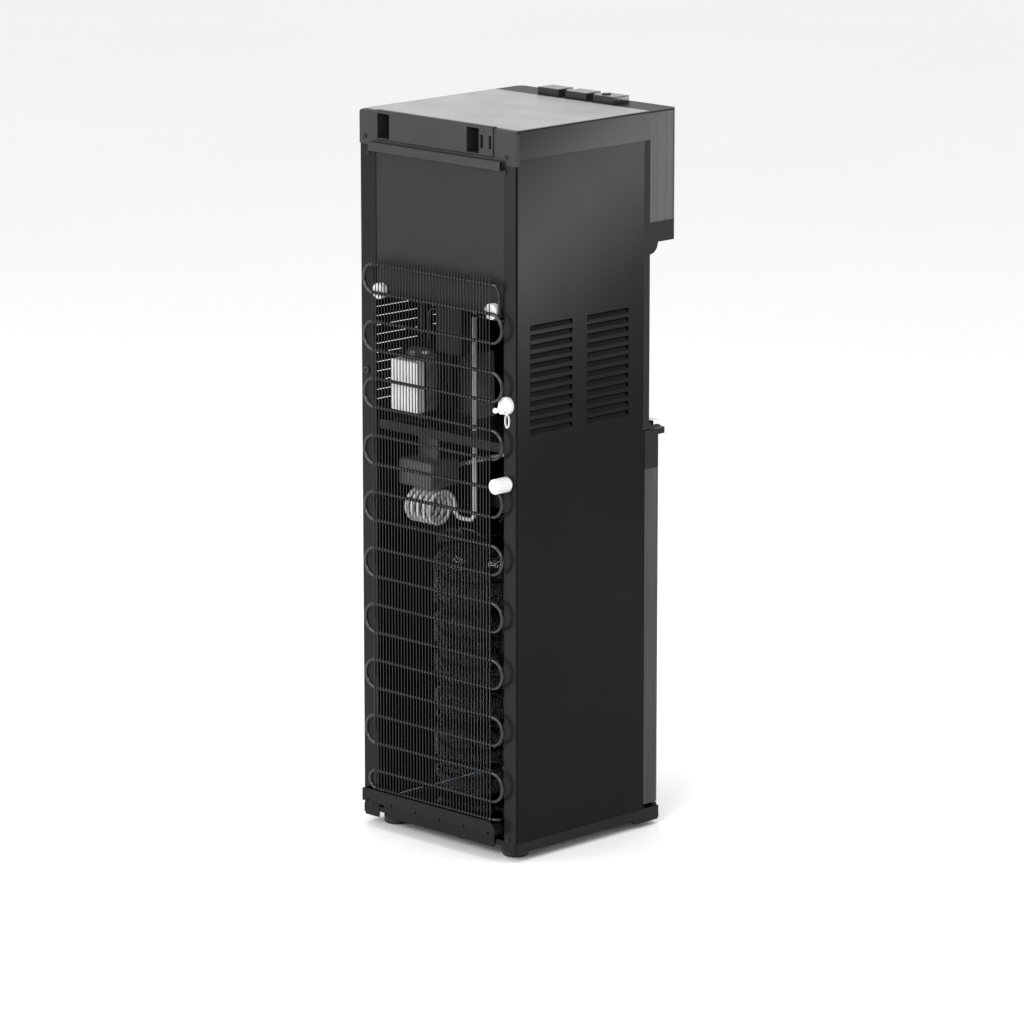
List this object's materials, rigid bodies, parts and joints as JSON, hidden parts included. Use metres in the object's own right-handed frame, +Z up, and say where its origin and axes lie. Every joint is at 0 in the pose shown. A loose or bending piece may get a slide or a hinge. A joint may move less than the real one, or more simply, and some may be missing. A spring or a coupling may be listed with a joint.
{
  "type": "bottom-loading water dispenser",
  "caption": "Floor-standing water dispenser that hides its bottle behind a lower door, with taps in a niche, a drip tray, top keys and a wire condenser on its open back.",
  "frame": {"origin": "on the floor under the middle of the object's box", "axes": "+Z up; the front, with the door and the taps, faces -Y; the condenser faces +Y"},
  "size_m": [0.305, 0.345, 1.0325],
  "materials": {
    "side_steel": "satin black powder coat",
    "dark_skin": "brushed dark stainless look",
    "black_plastic": "satin",
    "top_plastic": "fine grain, satin",
    "top_sheet": "grained, satin",
    "foot_rubber": "matte",
    "key_plastic": "gloss",
    "lock_red": "gloss",
    "lock_green": "gloss",
    "steel": "brushed",
    "black_enamel": "gloss black enamel",
    "copper": "drawn copper",
    "white_plastic": "satin",
    "foam": "moulded foam",
    "silicone": "translucent silicone",
    "bottle_clear": "clear PET",
    "board_green": "circuit board"
  },
  "bodies": {
    "cabinet": {"side_panel_left": "side_steel", "side_panel_right": "side_steel", "upper_back_panel": "side_steel", "base_pan": "black_plastic", "rear_lip": "black_plastic", "front_panel": "black_plastic", "niche_liner": "black_plastic", "head_shell": "black_plastic", "head_skin": "dark_skin", "spouts": "key_plastic", "key_board": "board_green", "key_spring_cold": "steel", "key_spring_room": "steel", "key_spring_hot": "steel", "top_cover": "top_plastic", "rear_cap": "black_plastic", "switch_housing": "white_plastic", "grip_rail": "black_plastic", "back_screws": "steel", "cord_gland": "foot_rubber", "compressor_shelf": "side_steel", "tank_shelf": "side_steel", "compressor_mounts": "foot_rubber", "compressor": "black_enamel", "relay_box": "white_plastic", "hot_tank_foam": "foam", "hot_tank": "steel", "cold_tank_foam": "foam", "cold_tank": "steel", "evaporator_coil": "copper", "control_box": "black_plastic", "water_bottle": "bottle_clear", "bottle_cap": "black_plastic", "pump": "white_plastic", "probe_hose": "silicone", "delivery_hose": "silicone", "condenser_tube": "black_enamel", "condenser_wires": "black_enamel", "condenser_mounts": "white_plastic", "refrigerant_lines": "black_enamel", "filter_drier": "copper", "drain_fittings": "white_plastic", "hinge_pins": "steel", "door_frame": "black_plastic", "hose_coil": "silicone", "top_plate": "top_sheet"},
    "door": {"door_shell": "black_plastic", "door_skin": "dark_skin"},
    "key_cold": {"key_cold": "key_plastic"},
    "key_room": {"key_room": "key_plastic"},
    "key_hot": {"key_hot": "key_plastic"},
    "child_lock": {"child_lock": "lock_red"},
    "rocker_heating": {"rocker_heating": "lock_red"},
    "rocker_cooling": {"rocker_cooling": "lock_green"},
    "drip_tray": {"drip_tray": "black_plastic"},
    "drip_grille": {"drip_grille": "steel"},
    "rear_foot_left": {"rear_foot_left": "foot_rubber"},
    "rear_foot_right": {"rear_foot_right": "foot_rubber"},
    "drain_cold_cap": {"drain_cold_cap": "white_plastic"},
    "drain_hot_cap": {"drain_hot_cap": "white_plastic"}
  },
  "joints": [
    {"name": "door_hinge", "type": "hinge", "parent": "cabinet", "child": "door", "pos_m": [0.14, -0.125, 0.3], "axis": [0, 0, 1], "range_deg": [0, 110]},
    {"name": "key_cold_press", "type": "slide", "parent": "cabinet", "child": "key_cold", "axis": [0, 0, -1], "range_m": [0, 0.004], "stiffness_N_per_m": 400, "springref_m": -0.004, "deforming": ["key_spring_cold"]},
    {"name": "key_room_press", "type": "slide", "parent": "cabinet", "child": "key_room", "axis": [0, 0, -1], "range_m": [0, 0.004], "stiffness_N_per_m": 400, "springref_m": -0.004, "deforming": ["key_spring_room"]},
    {"name": "key_hot_press", "type": "slide", "parent": "cabinet", "child": "key_hot", "axis": [0, 0, -1], "range_m": [0, 0.004], "stiffness_N_per_m": 400, "springref_m": -0.004, "deforming": ["key_spring_hot"]},
    {"name": "child_lock_slide", "type": "slide", "parent": "key_hot", "child": "child_lock", "axis": [0, -1, 0], "range_m": [0, 0.004]},
    {"name": "rocker_heating_tilt", "type": "hinge", "parent": "cabinet", "child": "rocker_heating", "pos_m": [-0.0881, 0.136, 1.001], "axis": [1, 0, 0], "range_deg": [0, 8]},
    {"name": "rocker_cooling_tilt", "type": "hinge", "parent": "cabinet", "child": "rocker_cooling", "pos_m": [-0.10385, 0.136, 1.001], "axis": [1, 0, 0], "range_deg": [0, 8]},
    {"name": "drip_tray_lift", "type": "slide", "parent": "cabinet", "child": "drip_tray", "axis": [0, 0, 1], "range_m": [0, 0.02]},
    {"name": "drip_grille_lift", "type": "slide", "parent": "drip_tray", "child": "drip_grille", "axis": [0, 0, 1], "range_m": [0, 0.03]},
    {"name": "rear_foot_left_turn", "type": "hinge", "parent": "cabinet", "child": "rear_foot_left", "pos_m": [0.1184, 0.1115, 0.01], "axis": [0, 0, 1], "continuous": true},
    {"name": "rear_foot_right_turn", "type": "hinge", "parent": "cabinet", "child": "rear_foot_right", "pos_m": [-0.1184, 0.1115, 0.01], "axis": [0, 0, 1], "continuous": true},
    {"name": "drain_cold_cap_pull", "type": "slide", "parent": "cabinet", "child": "drain_cold_cap", "axis": [0, 1, 0], "range_m": [0, 0.025]},
    {"name": "drain_hot_cap_pull", "type": "slide", "parent": "cabinet", "child": "drain_hot_cap", "axis": [0, 1, 0], "range_m": [0, 0.025]}
  ]
}
